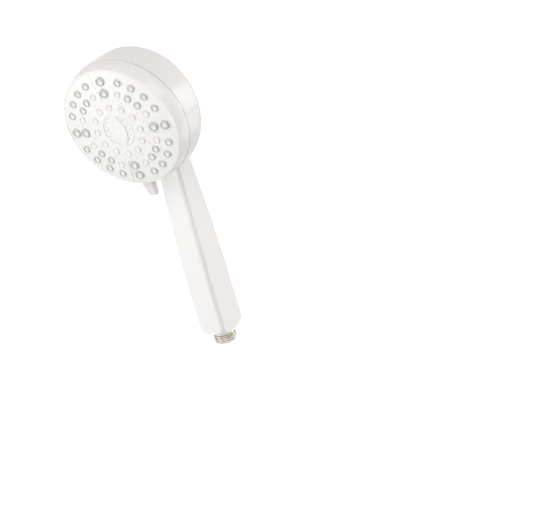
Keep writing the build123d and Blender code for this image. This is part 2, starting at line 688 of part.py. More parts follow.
def face_plate():
    """Domed spray face with its rim, nozzle holes and screw bosses."""
    plate = dome_layer(CAP_R + FIT, FACE_R, 0, -FACE_THICKNESS)
    rim = dome_layer(FACE_R - FACE_RIM_WIDTH, FACE_R, 0, -FACE_RIM_DEPTH)
    plate += rim & rod(FACE_R, -FACE_RIM_DEPTH, FACE_CROWN)
    for spot in ENGINE_SCREW_SPOTS:
        plate += rod(ENGINE_BOSS_R, -ENGINE_BOSS_DEPTH, spot_dome(spot) - FACE_THICKNESS / 2, spot)
    holes = [(LARGE_SPOTS, LARGE_BASE_R), (SMALL_SPOTS, SMALL_BASE_R), (WHITE_SPOTS, WHITE_BASE_R)]
    cuts = wedges()
    for group, radius in holes:
        cuts += [rod(radius + FIT, -FACE_RIM_DEPTH, FACE_CROWN, spot) for spot in group]
    mist = spots(ENGINE_SCREW_RING_R, MIST_ANGLES)
    cuts += [rod(MIST_HOLE_R, -FACE_RIM_DEPTH, FACE_CROWN, spot) for spot in mist]
    pilot = -ENGINE_BOSS_DEPTH + ENGINE_SCREW_BITE + PILOT_TIP
    cuts += [rod(SCREW_R + FIT, -ENGINE_BOSS_DEPTH, pilot, spot) for spot in ENGINE_SCREW_SPOTS]
    return on_head(plate - cuts)


# Massage chamber

def crescents():
    """Cutters for the two shallow pockets of the cap and the jets in them."""
    island = Pos(ISLAND_HALF - ISLAND_SIDE_R, 0) * Circle(ISLAND_SIDE_R)
    floor = dome(CAP_R, CAP_RISE) - CRESCENT_DEPTH
    pocket = Pos(0, 0, floor) * extrude(Circle(CAP_R - CRESCENT_RIM) - island, CAP_THICKNESS)
    jets = spots(JET_OUTER_R, JET_OUTER_ANGLES, 2) + spots(JET_INNER_R, JET_INNER_ANGLES, 2)
    cuts = [rod(JET_HOLE_R, CAP_BACK, FACE_CROWN + CAP_RISE, jet) for jet in jets]
    return cuts + [pocket, Rot(0, 0, 180) * pocket]


def centre_cap():
    """Round cap with its crescents of jets, the skirt of the chamber and the pin's seat."""
    edge = CAP_RISE + dome(CAP_R)
    top = FACE_CROWN + CAP_RISE
    profile = make_face([
        Line((0, 0, CAP_BACK), (0, 0, top)),
        ThreePointArc((0, 0, top), (CAP_R / 2, 0, dome(CAP_R / 2, CAP_RISE)), (CAP_R, 0, edge)),
        Line((CAP_R, 0, edge), (CAP_R, 0, CAP_BACK)),
        Line((CAP_R, 0, CAP_BACK), (0, 0, CAP_BACK)),
    ])
    cap = revolve(profile, Axis.Z)
    rims = cap.edges().filter_by(lambda edge: edge.is_closed)
    cap = fillet(rims.sort_by(Axis.Z)[-1], CAP_RISE)
    cap += tube(CAP_SKIRT_R, CAP_SKIRT_R - CAP_SKIRT_WALL, -CHAMBER_FLOOR + FIT, CAP_BACK)
    cap += rod(PIN_SEAT_R, CAP_BACK - PIN_SEAT_DEPTH, CAP_BACK)
    cap -= rod(PIN_R + RUN, CAP_BACK - PIN_SEAT_DEPTH, CAP_BACK + PIN_SEAT_DEPTH / 2)
    return on_head(cap - crescents())


def turbine_pin():
    """Rotor's axle, held in the cap's seat."""
    return on_head(rod(PIN_R, ROTOR_BOTTOM, CAP_BACK + PIN_SEAT_DEPTH / 2 - FIT))


def massage_turbine():
    """Bladed rotor whose shutter has a window that opens the jets in turn."""
    shutter_back = ROTOR_TOP - ROTOR_SHUTTER
    rotor = rod(ROTOR_R, shutter_back, ROTOR_TOP)
    window = Pos(0, 0, shutter_back) * Cylinder(
        ROTOR_R - ROTOR_SHUTTER, ROTOR_SHUTTER, arc_size=ROTOR_WINDOW,
        align=(Align.NONE, Align.NONE, Align.MIN),
    )
    rotor -= window - rod(ROTOR_HUB_R + ROTOR_SHUTTER, shutter_back, ROTOR_TOP)
    blade_length = ROTOR_R - ROTOR_HUB_R / 2
    blade = Pos(ROTOR_HUB_R / 2, 0, ROTOR_BOTTOM) * Box(
        blade_length, ROTOR_BLADE_THICKNESS, ROTOR_TOP - ROTOR_BOTTOM,
        align=(Align.MIN, Align.CENTER, Align.MIN),
    )
    rotor += [Rot(0, 0, 360 / ROTOR_BLADES * turn) * blade for turn in range(ROTOR_BLADES)]
    rotor += rod(ROTOR_HUB_R, ROTOR_BOTTOM, ROTOR_TOP)
    rotor &= rod(ROTOR_R, ROTOR_BOTTOM, ROTOR_TOP)
    return on_head(rotor - rod(PIN_R + RUN, ROTOR_BOTTOM, ROTOR_TOP))


# Flow plate and mode disc

PORT_ANGLES = [stop - UP for stop in MODE_STOPS]
FEED_RINGS = (OUTER_RING_R, SECOND_RING_R, CHAMBER_FEED_R, THIRD_RING_R, OUTER_RING_R)
ENGINE_SCREW_SEAT = MODE_BACK + SCREW_SINK + SCREW_HEAD_HEIGHT
ENGINE_SCREW_LENGTH = -ENGINE_BOSS_DEPTH + ENGINE_SCREW_BITE - ENGINE_SCREW_SEAT


def feed_slot(angle, ring_r):
    """Cutter from a port to the ring of nozzles that it feeds."""
    run = abs(ring_r - PORT_RING_R)
    groove = Pos((ring_r + PORT_RING_R) / 2, 0, -FLOW_BACK) * Box(
        run, 2 * FEED_R, FEED_SLOT_DEPTH, align=CENTRED_UP
    )
    port = rod(PORT_R, -FLOW_BACK, -FLOW_BACK + FEED_SLOT_DEPTH, (PORT_RING_R, 0))
    feed = rod(FEED_R, -FLOW_BACK, FLOW_FRONT - CHANNEL_DEPTH + FACE_CROWN, (ring_r, 0))
    return Rot(0, 0, angle) * (groove + port + feed)


def flow_plate():
    """Plate that leads water from the ports to each ring of nozzles."""
    plate = dome_layer(0, FLOW_R, FLOW_FRONT, -FLOW_BACK - FACE_CROWN)
    plate &= rod(FLOW_R, -FLOW_BACK, FACE_CROWN)
    flange_top = LEDGE_BOTTOM - FIT
    plate += tube(RING_BORE_R - SLACK, FLOW_R - FIT, flange_top - FLANGE_THICKNESS, flange_top)
    half = CHANNEL_WIDTH / 2
    cuts = [rod(CAP_SKIRT_R + FIT, -CHAMBER_FLOOR, FACE_CROWN), rod(WASHER_WELL_R, -FLOW_BACK, 0)]
    for ring_r in (OUTER_RING_R, SECOND_RING_R, THIRD_RING_R):
        cuts.append(dome_layer(ring_r - half, ring_r + half, FLOW_FRONT + FIT, FLOW_FRONT - CHANNEL_DEPTH))
    cuts += [feed_slot(angle, ring_r) for angle, ring_r in zip(PORT_ANGLES, FEED_RINGS)]
    for spot in ENGINE_SCREW_SPOTS:
        cuts.append(rod(ENGINE_BOSS_R + FIT, -ENGINE_BOSS_DEPTH - FIT, FACE_CROWN, spot))
        cuts.append(rod(SCREW_R + FIT, -FLOW_BACK, 0, spot))
    cuts.append(disc_seal_at(DISC_SEAL_R + RUN))
    return on_head(plate - cuts)


def disc_seal_at(section_r):
    """Ring between the flow plate and the mode disc, or the cutter for its groove."""
    return seal_ring(DISC_SEAL_RING_R, section_r, (MODE_FRONT - FLOW_BACK) / 2)


def mode_disc():
    """Turning disc with the ports, the notches and the bore for the pivot."""
    disc = rod(MODE_R, MODE_BACK, MODE_FRONT)
    cuts = [rod(PIVOT_R + RUN, MODE_BACK, MODE_FRONT)]
    cuts.append(rod(WASHER_WELL_R, MODE_FRONT - WASHER_POCKET, MODE_FRONT))
    cuts += [rod(PORT_R, MODE_BACK, MODE_FRONT, polar(PORT_RING_R, angle)) for angle in PORT_ANGLES]
    notch_r = DETENT_R + NOTCH_ROOM
    notch_z = DETENT_NOSE + DETENT_TRAVEL + SLACK - notch_r
    for stop in MODE_STOPS:
        spot = polar(DETENT_RING_R, UP + stop)
        cuts.append(Pos(spot[0], spot[1], notch_z) * Sphere(notch_r))
    for spot in ENGINE_SCREW_SPOTS:
        cuts.append(rod(SCREW_R + FIT, MODE_BACK, MODE_FRONT, spot))
        cuts.append(rod(SCREW_HEAD_R + FIT, MODE_BACK, ENGINE_SCREW_SEAT + RUN, spot))
    cuts.append(disc_seal_at(DISC_SEAL_R + RUN))
    return on_head(disc - cuts)


def engine_screws():
    """Screws from behind the mode disc into the face plate's bosses."""
    one = Rot(180, 0, 0) * screw(SCREW_R, ENGINE_SCREW_LENGTH, SCREW_HEAD_R, SCREW_HEAD_HEIGHT)
    places = [Pos(x, y, ENGINE_SCREW_SEAT) for x, y in ENGINE_SCREW_SPOTS]
    return Compound([on_head(place * one) for place in places])


# Valve base and what sits in it

def valve_base():
    """Fixed plate with the pivot, the seal's pocket, the tube's socket and the detent's pocket."""
    spot = (0, -PORT_RING_R)
    detent = (0, DETENT_RING_R)
    pilot = PIVOT_TOP - PIVOT_SCREW_LENGTH - PILOT_TIP
    base = rod(BASE_R, BASE_BACK, BASE_FRONT)
    base += rod(PIVOT_R, pilot - PILOT_TIP, PIVOT_TOP)
    base += rod(SOCKET_R, SOCKET_BACK, BASE_FRONT, spot)
    base += rod(DETENT_R + RUN + DETENT_WALL, DETENT_POCKET_BACK - DETENT_WALL, BASE_FRONT, detent)
    cuts = [
        rod(PIVOT_SCREW_R + FIT, pilot, PIVOT_TOP),
        rod(SEAL_R + FIT, POCKET_BACK, BASE_FRONT, spot),
        rod(PORT_R, SOCKET_BACK, BASE_FRONT, spot),
        rod(TUBE_R + FIT, SOCKET_BACK, SOCKET_FRONT, spot),
        rod(DETENT_R + RUN, DETENT_POCKET_BACK, BASE_FRONT, detent),
    ]
    for place in BASE_SCREW_SPOTS:
        cuts.append(rod(SCREW_R + FIT, BASE_BACK, BASE_FRONT, place))
        cuts.append(rod(SCREW_HEAD_R + FIT, BASE_SCREW_SEAT - RUN, BASE_FRONT, place))
    return on_head(base - cuts)


def base_screws():
    """Screws through the valve base into the housing's bosses."""
    one = screw(SCREW_R, BASE_SCREW_LENGTH, SCREW_HEAD_R, SCREW_HEAD_HEIGHT)
    return Compound([on_head(Pos(x, y, BASE_SCREW_SEAT) * one) for x, y in BASE_SCREW_SPOTS])


def port_seal():
    """Rubber cup pressed against the mode disc."""
    return on_head(tube(SEAL_R, PORT_R, SEAL_BACK, SEAL_FRONT, (0, -PORT_RING_R)))


def port_spring():
    """Spring behind the port seal."""
    mean_r = (SEAL_R + PORT_R) / 2
    spring = coil(mean_r, PORT_SPRING_WIRE_R, PORT_SPRING_LENGTH, PORT_SPRING_TURNS)
    return on_head(Pos(0, -PORT_RING_R, SPRING_BACK) * spring)


def detent_plunger():
    """Round-nosed pin that clicks into the mode disc's notches."""
    shoulder = DETENT_NOSE - DETENT_R
    pin = rod(DETENT_R, DETENT_BACK, shoulder) + Pos(0, 0, shoulder) * Sphere(DETENT_R)
    return on_head(Pos(0, DETENT_RING_R, 0) * pin)


def detent_spring():
    """Spring behind the plunger."""
    mean_r = DETENT_R - DETENT_SPRING_WIRE_R - RUN
    spring = coil(mean_r, DETENT_SPRING_WIRE_R, DETENT_SPRING_LENGTH, DETENT_SPRING_TURNS)
    return on_head(Pos(0, DETENT_RING_R, DETENT_SPRING_FRONT - DETENT_SPRING_LENGTH) * spring)


def pivot_screw():
    """Screw that keeps the turning stack on the pivot."""
    one = screw(PIVOT_SCREW_R, PIVOT_SCREW_LENGTH, PIVOT_SCREW_HEAD_R, PIVOT_SCREW_HEAD_HEIGHT)
    return on_head(Pos(0, 0, WASHER_TOP) * one)


def main():
    """Builds every piece and writes each to its own file."""
    pieces = {
        "handle_body": handle_body(),
        "inlet_nipple": inlet_nipple(),
        "inlet_screen": inlet_screen(),
        "flow_regulator": flow_regulator(),
        "regulator_o_ring": seal_ring(REGULATOR_SEAL_RING_R, REGULATOR_SEAL_R, REGULATOR_SEAL_Z),
        "water_tube": water_tube(),
        "tube_o_rings": Compound(list(tube_seals(TUBE_SEAL_R))),
        "valve_base": valve_base(),
        "base_screws": base_screws(),
        "port_seal": port_seal(),
        "port_spring": port_spring(),
        "detent_plunger": detent_plunger(),
        "detent_spring": detent_spring(),
        "pivot_washer": on_head(tube(WASHER_R, PIVOT_SCREW_R + FIT, PIVOT_TOP, WASHER_TOP)),
        "pivot_screw": pivot_screw(),
        "mode_disc": mode_disc(),
        "disc_seal": on_head(disc_seal_at(DISC_SEAL_R)),
        "flow_plate": flow_plate(),
        "engine_screws": engine_screws(),
        "selector_ring": selector_ring(),
        "selector_lever": selector_lever(),
        "face_plate": face_plate(),
        "grey_nozzles": grey_nozzles(),
        "white_nozzles": white_nozzles(),
        "centre_cap": centre_cap(),
        "turbine_pin": turbine_pin(),
        "massage_turbine": massage_turbine(),
    }
    os.makedirs("parts", exist_ok=True)
    for name, shape in pieces.items():
        export_step(shape, f"parts/{name}.step")


main()
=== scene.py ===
"""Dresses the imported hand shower: finishes on its solids, soft nozzles, a cut thread and a studio.

Metres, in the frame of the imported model: the handle's axis is Z, the origin is the centre of the
inlet's end face and the spray leaves towards -Y. The head has a frame of its own, taken from the
joint that turns the spray face: its z is the head's axis, out of the face, and its y points up.
"""

import json
import logging
import math
from abc import ABC, abstractmethod
from dataclasses import dataclass, field
from enum import Enum
from typing import Any, Iterable, Sequence

import bmesh
import bpy
from mathutils import Matrix, Vector


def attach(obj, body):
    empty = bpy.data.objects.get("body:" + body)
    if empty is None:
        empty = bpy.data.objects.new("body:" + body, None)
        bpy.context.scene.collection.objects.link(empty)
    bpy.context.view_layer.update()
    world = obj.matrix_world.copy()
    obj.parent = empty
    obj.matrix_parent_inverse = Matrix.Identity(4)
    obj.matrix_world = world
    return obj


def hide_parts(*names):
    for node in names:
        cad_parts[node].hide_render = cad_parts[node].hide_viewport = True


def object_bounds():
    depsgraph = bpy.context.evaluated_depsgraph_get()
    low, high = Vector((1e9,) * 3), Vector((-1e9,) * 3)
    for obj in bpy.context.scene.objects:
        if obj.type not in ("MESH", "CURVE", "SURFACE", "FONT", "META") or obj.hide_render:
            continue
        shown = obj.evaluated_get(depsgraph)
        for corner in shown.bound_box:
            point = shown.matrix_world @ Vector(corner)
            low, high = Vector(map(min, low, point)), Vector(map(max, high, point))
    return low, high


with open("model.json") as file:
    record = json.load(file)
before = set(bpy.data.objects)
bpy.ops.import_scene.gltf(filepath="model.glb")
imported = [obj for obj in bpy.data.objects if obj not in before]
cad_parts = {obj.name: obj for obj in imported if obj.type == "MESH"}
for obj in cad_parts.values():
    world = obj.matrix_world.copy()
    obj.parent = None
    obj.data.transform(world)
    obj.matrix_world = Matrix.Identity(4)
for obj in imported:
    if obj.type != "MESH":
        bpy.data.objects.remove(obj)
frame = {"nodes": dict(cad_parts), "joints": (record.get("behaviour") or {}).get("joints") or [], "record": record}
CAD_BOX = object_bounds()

LOG = logging.getLogger("hand_shower")

MM = 0.001                  # metres in a millimetre
WHITE = "#FFFFFF"
WARM_WHITE = "#FFF8F6"
PHOTO_WIDTH_PX = 533
SENSOR_WIDTH_MM = 36.0
SELECTOR_JOINT = "spray_selector"
PAINTED_HIGHLIGHT_ATTRIBUTE = "tip"       # 1 in the cup of a nozzle, its bore included, which is painted pale as a painted highlight, and 0 on the rest of it
CUP_EDGE = 0.02             # millimetres past the edge of a nozzle's cup that still count as cup
QUARTERS = 4                # the pattern of the spray face repeats every quarter turn
MERGE_DISTANCE = 1e-7       # corners that are nearer, in metres, become one
SHARP_DEGREES = 35.0        # edges that turn by more stay sharp
WAVE_PERIOD = math.pi / 10  # length at which a wave texture with a scale of 1 repeats

Tree = bpy.types.NodeTree
Node = bpy.types.Node
Socket = bpy.types.NodeSocket
Material = bpy.types.Material
Piece = bpy.types.Object
Solid = bmesh.types.BMesh
Profile = list[tuple[float, float]]


def linear(hex_colour: str) -> tuple[float, float, float, float]:
    """Turns an sRGB hex colour into a linear one.

    Args:
        hex_colour: Six hex digits after a hash sign.

    Returns:
        Red, green, blue and an alpha of one.
    """
    shares = [int(hex_colour[place:place + 2], 16) / 255 for place in (1, 3, 5)]
    red, green, blue = (
        share / 12.92 if share <= 0.04045 else ((share + 0.055) / 1.055) ** 2.4
        for share in shares
    )
    return red, green, blue, 1.0


def per_metre(size_mm: float) -> float:
    """Scale of a pattern whose features are that many millimetres across."""
    return 1 / (size_mm * MM)


def add_node(
    tree: Tree, kind: str, inputs: dict[str | int, Any] | None = None, **settings: Any
) -> Node:
    """Adds a node, sets its properties, and fills or links its inputs.

    Args:
        tree: Tree that gets the node.
        kind: Blender's name of the node type.
        inputs: Values by the input's name or number; a socket is linked, anything else is set.
        settings: Properties of the node itself.

    Returns:
        The new node.
    """
    node = tree.nodes.new(kind)
    for name, value in settings.items():
        setattr(node, name, value)
    for name, value in (inputs or {}).items():
        if isinstance(value, Socket):
            tree.links.new(value, node.inputs[name])
        else:
            node.inputs[name].default_value = value
    return node


class Slot(Enum):
    """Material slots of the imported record."""

    SHELL = "shell_white"
    FACE = "face_white"
    GREY_NOZZLE = "nozzle_grey"
    WHITE_NOZZLE = "nozzle_white"
    LEVER = "lever_grey"
    INLET = "inlet_nickel"
    INNER = "inner_plastic"
    SEAL = "seal_rubber"
    STEEL = "steel"


class Body(Enum):
    """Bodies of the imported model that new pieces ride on."""

    WAND = "wand"
    SPRAY_HEAD = "spray_head"


# Finishes


@dataclass(frozen=True)
class Finish(ABC):
    """Surface of a real material."""

    name: str
    colour: str
    roughness: float

    def material(self) -> Material:
        """Builds the material.

        Returns:
            A new material with this finish's nodes.
        """
        made = bpy.data.materials.new(self.name)
        made.use_nodes = True
        tree = made.node_tree
        tree.nodes.clear()
        surface = add_node(
            tree, "ShaderNodeBsdfPrincipled",
            {"Base Color": linear(self.colour), "Roughness": self.roughness},
        )
        place = add_node(tree, "ShaderNodeTexCoord").outputs["Object"]
        self.dress(tree, surface, place)
        add_node(tree, "ShaderNodeOutputMaterial", {"Surface": surface.outputs["BSDF"]})
        return made

    @abstractmethod
    def dress(self, tree: Tree, surface: Node, place: Socket) -> None:
        """Adds what this kind of material has beyond its colour and roughness.

        Args:
            tree: The material's tree.
            surface: Its Principled node.
            place: Object coordinates.
        """


@dataclass(frozen=True)
class MouldedPlastic(Finish):
    """Moulded plastic: a tool-polished skin with a faint orange peel and soft flow clouds."""

    ior: float
    cloud_colour: str
    cloud_mm: float = 45.0
    cloud_detail: float = 3.0
    peel_mm: float = 2.2            # the real peel is near 0.6 mm, drawn coarser so that it shows
    peel_detail: float = 2.0
    peel_depth_mm: float = 0.004
    roughness_swing: float = 0.05

    def dress(self, tree: Tree, surface: Node, place: Socket) -> None:
        """Adds clouds in the colour, a swing in the gloss and the peel's bump.

        Args:
            tree: The material's tree.
            surface: Its Principled node.
            place: Object coordinates.
        """
        surface.inputs["IOR"].default_value = self.ior
        clouds = add_node(
            tree, "ShaderNodeTexNoise",
            {"Vector": place, "Scale": per_metre(self.cloud_mm), "Detail": self.cloud_detail},
        )
        mixed = add_node(
            tree, "ShaderNodeMix",
            {
                "Factor": clouds.outputs["Fac"],
                "A": linear(self.colour),
                "B": linear(self.cloud_colour),
            },
            data_type="RGBA",
        )
        tree.links.new(mixed.outputs["Result"], surface.inputs["Base Color"])
        peel = add_node(
            tree, "ShaderNodeTexNoise",
            {"Vector": place, "Scale": per_metre(self.peel_mm), "Detail": self.peel_detail},
        )
        gloss = add_node(
            tree, "ShaderNodeMapRange",
            {
                "Value": clouds.outputs["Fac"],
                "To Min": self.roughness - self.roughness_swing,
                "To Max": self.roughness + self.roughness_swing,
            },
        )
        tree.links.new(gloss.outputs["Result"], surface.inputs["Roughness"])
        bump = add_node(
            tree, "ShaderNodeBump",
            {"Height": peel.outputs["Fac"], "Distance": self.peel_depth_mm * MM},
        )
        tree.links.new(bump.outputs["Normal"], surface.inputs["Normal"])


@dataclass(frozen=True)
class Silicone(Finish):
    """Moulded silicone rubber: matte, a little clouded, with a painted highlight: the cup of each nozzle and its
    bore painted paler, the bore though it lies in shade.
    """

    ior: float
    # colour of the painted highlight in each nozzle's cup and bore, which lies in shade
    painted_highlight_colour: str
    bloom_mm: float = 1.6
    bloom_detail: float = 2.0
    bloom_depth_mm: float = 0.01

    def dress(self, tree: Tree, surface: Node, place: Socket) -> None:
        """Adds a painted highlight, the cups painted pale by the piece's own attribute, and a soft bloom.

        Args:
            tree: The material's tree.
            surface: Its Principled node.
            place: Object coordinates.
        """
        surface.inputs["IOR"].default_value = self.ior
        # mask of the painted highlight: the cup and the bore of each nozzle
        tip = add_node(tree, "ShaderNodeAttribute", attribute_name=PAINTED_HIGHLIGHT_ATTRIBUTE)
        bloom = add_node(
            tree, "ShaderNodeTexNoise",
            {"Vector": place, "Scale": per_metre(self.bloom_mm), "Detail": self.bloom_detail},
        )
        mixed = add_node(
            tree, "ShaderNodeMix",
            {
                "Factor": tip.outputs["Fac"],
                "A": linear(self.colour),
                "B": linear(self.painted_highlight_colour),
            },
            data_type="RGBA",
        )
        tree.links.new(mixed.outputs["Result"], surface.inputs["Base Color"])
        bump = add_node(
            tree, "ShaderNodeBump",
            {"Height": bloom.outputs["Fac"], "Distance": self.bloom_depth_mm * MM},
        )
        tree.links.new(bump.outputs["Normal"], surface.inputs["Normal"])


@dataclass(frozen=True)
class TurnedMetal(Finish):
    """Metal cut on a lathe: fine rings round the handle's axis that stretch the highlights."""

    ring_mm: float = 0.987          # real marks are near 0.1 mm, drawn coarser so that they show
    ring_wander: float = 0.6
    ring_detail: float = 1.0
    ring_depth_mm: float = 0.006
    stain_mm: float = 4.0
    stain_detail: float = 3.0
    roughness_swing: float = 0.06

    def dress(self, tree: Tree, surface: Node, place: Socket) -> None:
        """Adds tool marks in the bump and faint stains in the gloss.

        Args:
            tree: The material's tree.
            surface: Its Principled node.
            place: Object coordinates.
        """
        surface.inputs["Metallic"].default_value = 1.0
        marks = add_node(
            tree, "ShaderNodeTexWave",
            {
                "Vector": place,
                "Scale": WAVE_PERIOD * per_metre(self.ring_mm),
                "Distortion": self.ring_wander,
                "Detail": self.ring_detail,
            },
            wave_type="BANDS", bands_direction="Z",
        )
        stains = add_node(
            tree, "ShaderNodeTexNoise",
            {"Vector": place, "Scale": per_metre(self.stain_mm), "Detail": self.stain_detail},
        )
        gloss = add_node(
            tree, "ShaderNodeMapRange",
            {
                "Value": stains.outputs["Fac"],
                "To Min": self.roughness - self.roughness_swing,
                "To Max": self.roughness + self.roughness_swing,
            },
        )
        tree.links.new(gloss.outputs["Result"], surface.inputs["Roughness"])
        bump = add_node(
            tree, "ShaderNodeBump",
            {"Height": marks.outputs["Fac"], "Distance": self.ring_depth_mm * MM},
        )
        tree.links.new(bump.outputs["Normal"], surface.inputs["Normal"])


FINISHES: dict[Slot, Finish] = {
    # ABS from a polished tool: opaque and bright, with a clear gloss
    Slot.SHELL: MouldedPlastic("gloss_white_abs", "#EEEDEC", 0.24, 1.54, "#F2F1F0"),
    # ABS from a duller tool: flatter and a little cooler than the shell
    Slot.FACE: MouldedPlastic("satin_white_abs", "#EDEDEB", 0.36, 1.54, "#F0F0EE"),
    # the same plastic tinted grey, with small clouds because the lever is small
    Slot.LEVER: MouldedPlastic("grey_abs", "#E0DFDE", 0.34, 1.54, "#E4E3E2", cloud_mm=8.0),
    # moulded silicone: matte grey, its cup painted nearly white as a painted highlight on the tip, its bore too
    # though it lies in shade
    Slot.GREY_NOZZLE: Silicone("grey_silicone", "#CECECD", 0.46, 1.41, "#F4F4F2"),
    # the same rubber with white pigment, which hardly stands out from the face; its cup and bore painted paler as
    # a painted highlight
    Slot.WHITE_NOZZLE: Silicone("white_silicone", "#E9E8E7", 0.46, 1.41, "#F4F4F2"),
    # brass turned and plated: a warm bright grey
    Slot.INLET: TurnedMetal("nickel_plated_brass", "#CBC6BC", 0.27),
    # turned steel: neutral and a little duller than the plating
    Slot.STEEL: TurnedMetal("stainless_steel", "#C4C4C4", 0.3),
    # moulded acetal without pigment: milky, with a waxy shine
    Slot.INNER: MouldedPlastic("natural_acetal", "#DCDDDC", 0.48, 1.48, "#E4E5E4", cloud_mm=20.0),
    # moulded nitrile rubber: near black, with hardly any shine
    Slot.SEAL: MouldedPlastic("black_nitrile", "#262626", 0.6, 1.52, "#2E2E2E", cloud_mm=6.0),
}


# Meshes


def arc(
    centre: tuple[float, float], radius: float, start: float, end: float, steps: int
) -> Profile:
    """Points of an arc in a profile.

    Args:
        centre: Radius and height of the arc's centre.
        radius: The arc's own radius.
        start: First angle in degrees, from outwards.
        end: Last angle in degrees.
        steps: Number of chords.

    Returns:
        The points, first and last included.
    """
    angles = [math.radians(start + (end - start) * step / steps) for step in range(steps + 1)]
    return [(centre[0] + radius * math.cos(a), centre[1] + radius * math.sin(a)) for a in angles]


def turn_profile(solid: Solid, profile: Profile, sides: int) -> None:
    """Turns a closed profile about z and adds it to a mesh.

    Args:
        solid: Mesh that gets the faces.
        profile: Radius and height of each corner, counter-clockwise; radius 0 lies on the axis.
        sides: Number of sides round the axis.
    """
    rings = []
    for radius, height in profile:
        count = sides if radius > 0 else 1
        angles = [2 * math.pi * side / sides for side in range(count)]
        spots = [(radius * math.cos(a), radius * math.sin(a), height) for a in angles]
        rings.append([solid.verts.new(spot) for spot in spots])
    for ring, after in zip(rings, rings[1:] + rings[:1]):
        for side in range(sides):
            corners = []
            for which, shift in ((ring, 0), (ring, 1), (after, 1), (after, 0)):
                corner = which[(side + shift) % len(which)]
                if corner not in corners:
                    corners.append(corner)
            if len(corners) > 2:
                solid.faces.new(corners)


def mesh_object(name: str, solid: Solid) -> Piece:
    """Turns a mesh under construction into an object of the scene.

    Args:
        name: The object's name.
        solid: Finished mesh; it is freed.

    Returns:
        The new object, at the origin.
    """
    bmesh.ops.remove_doubles(solid, verts=solid.verts, dist=MERGE_DISTANCE)
    bmesh.ops.recalc_face_normals(solid, faces=solid.faces)
    for face in solid.faces:
        face.smooth = True
    limit = math.radians(SHARP_DEGREES)
    for edge in solid.edges:
        edge.smooth = len(edge.link_faces) == 2 and edge.calc_face_angle() < limit
    mesh = bpy.data.meshes.new(name)
    solid.to_mesh(mesh)
    solid.free()
    made = bpy.data.objects.new(name, mesh)
    bpy.context.scene.collection.objects.link(made)
    return made


def start_tree(name: str, sizes: dict[str, str]) -> tuple[Tree, Node]:
    """Starts a Geometry Nodes tree with named inputs.

    Args:
        name: The tree's name.
        sizes: Socket type by input name, after the geometry itself.

    Returns:
        The tree and its Group Input node.
    """
    tree = bpy.data.node_groups.new(name, "GeometryNodeTree")
    tree.interface.new_socket("Geometry", in_out="INPUT", socket_type="NodeSocketGeometry")
    tree.interface.new_socket("Geometry", in_out="OUTPUT", socket_type="NodeSocketGeometry")
    for size, kind in sizes.items():
        tree.interface.new_socket(size, in_out="INPUT", socket_type=kind)
    return tree, add_node(tree, "NodeGroupInput")


def end_tree(tree: Tree, parts: Sequence[Socket], finish: Socket) -> None:
    """Ends a Geometry Nodes tree: joins its parts, makes them plain mesh and dresses them.

    Args:
        tree: The tree.
        parts: Geometry to join.
        finish: Material of the whole.
    """
    joined = add_node(tree, "GeometryNodeJoinGeometry")
    for part in parts:
        tree.links.new(part, joined.inputs["Geometry"])
    plain = add_node(
        tree, "GeometryNodeRealizeInstances", {"Geometry": joined.outputs["Geometry"]}
    )
    dressed = add_node(
        tree, "GeometryNodeSetMaterial",
        {"Geometry": plain.outputs["Geometry"], "Material": finish},
    )
    add_node(tree, "NodeGroupOutput", {"Geometry": dressed.outputs["Geometry"]})


def apply_tree(piece: Piece, tree: Tree, values: dict[str, Any]) -> None:
    """Adds a tree to a piece as a modifier with its sizes.

    Args:
        piece: Piece that gets the modifier.
        tree: The tree.
        values: Value by input name.
    """
    modifier = piece.modifiers.new(tree.name, "NODES")
    modifier.node_group = tree
    for item in tree.interface.items_tree:
        if item.in_out == "INPUT" and item.name in values:
            modifier[item.identifier] = values[item.name]


def realise(piece: Piece) -> None:
    """Turns a piece's modifiers into a plain mesh.

    Args:
        piece: Piece that loses its modifiers.
    """
    bpy.context.view_layer.update()
    seen = piece.evaluated_get(bpy.context.evaluated_depsgraph_get())
    mesh = bpy.data.meshes.new_from_object(seen)
    piece.modifiers.clear()
    piece.data = mesh


def place_piece(piece: Piece, node: str, body: Body) -> None:
    """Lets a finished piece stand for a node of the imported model.

    Args:
        piece: The piece, at the origin.
        node: Node that it stands for.
        body: Body that it rides on.
    """
    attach(piece, body.value)
    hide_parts(node)
    LOG.info("%s stands for %s: %d faces", piece.name, node, len(piece.data.polygons))


# Sub-assemblies


@dataclass(frozen=True)
class HeadFrame:
    """Place and lean of the head, from the joint that turns the spray face."""

    origin: Vector
    axis: Vector

    @classmethod
    def from_joints(cls, joints: Iterable[dict[str, Any]]) -> "HeadFrame":
        """Finds the head's frame.

        Args:
            joints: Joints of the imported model.

        Returns:
            The frame of the spray selector's hinge.
        """
        hinge = next(joint for joint in joints if joint["name"] == SELECTOR_JOINT)
        return cls(Vector(hinge["pos_m"]), Vector(hinge["axis"]).normalized())

    @property
    def lean(self) -> float:
        """Turn about X that takes Z to the head's axis."""
        return math.atan2(-self.axis.y, self.axis.z)

    @property
    def matrix(self) -> Matrix:
        """From the head's own coordinates to the model's."""
        return Matrix.Translation(self.origin) @ Matrix.Rotation(self.lean, 4, "X")


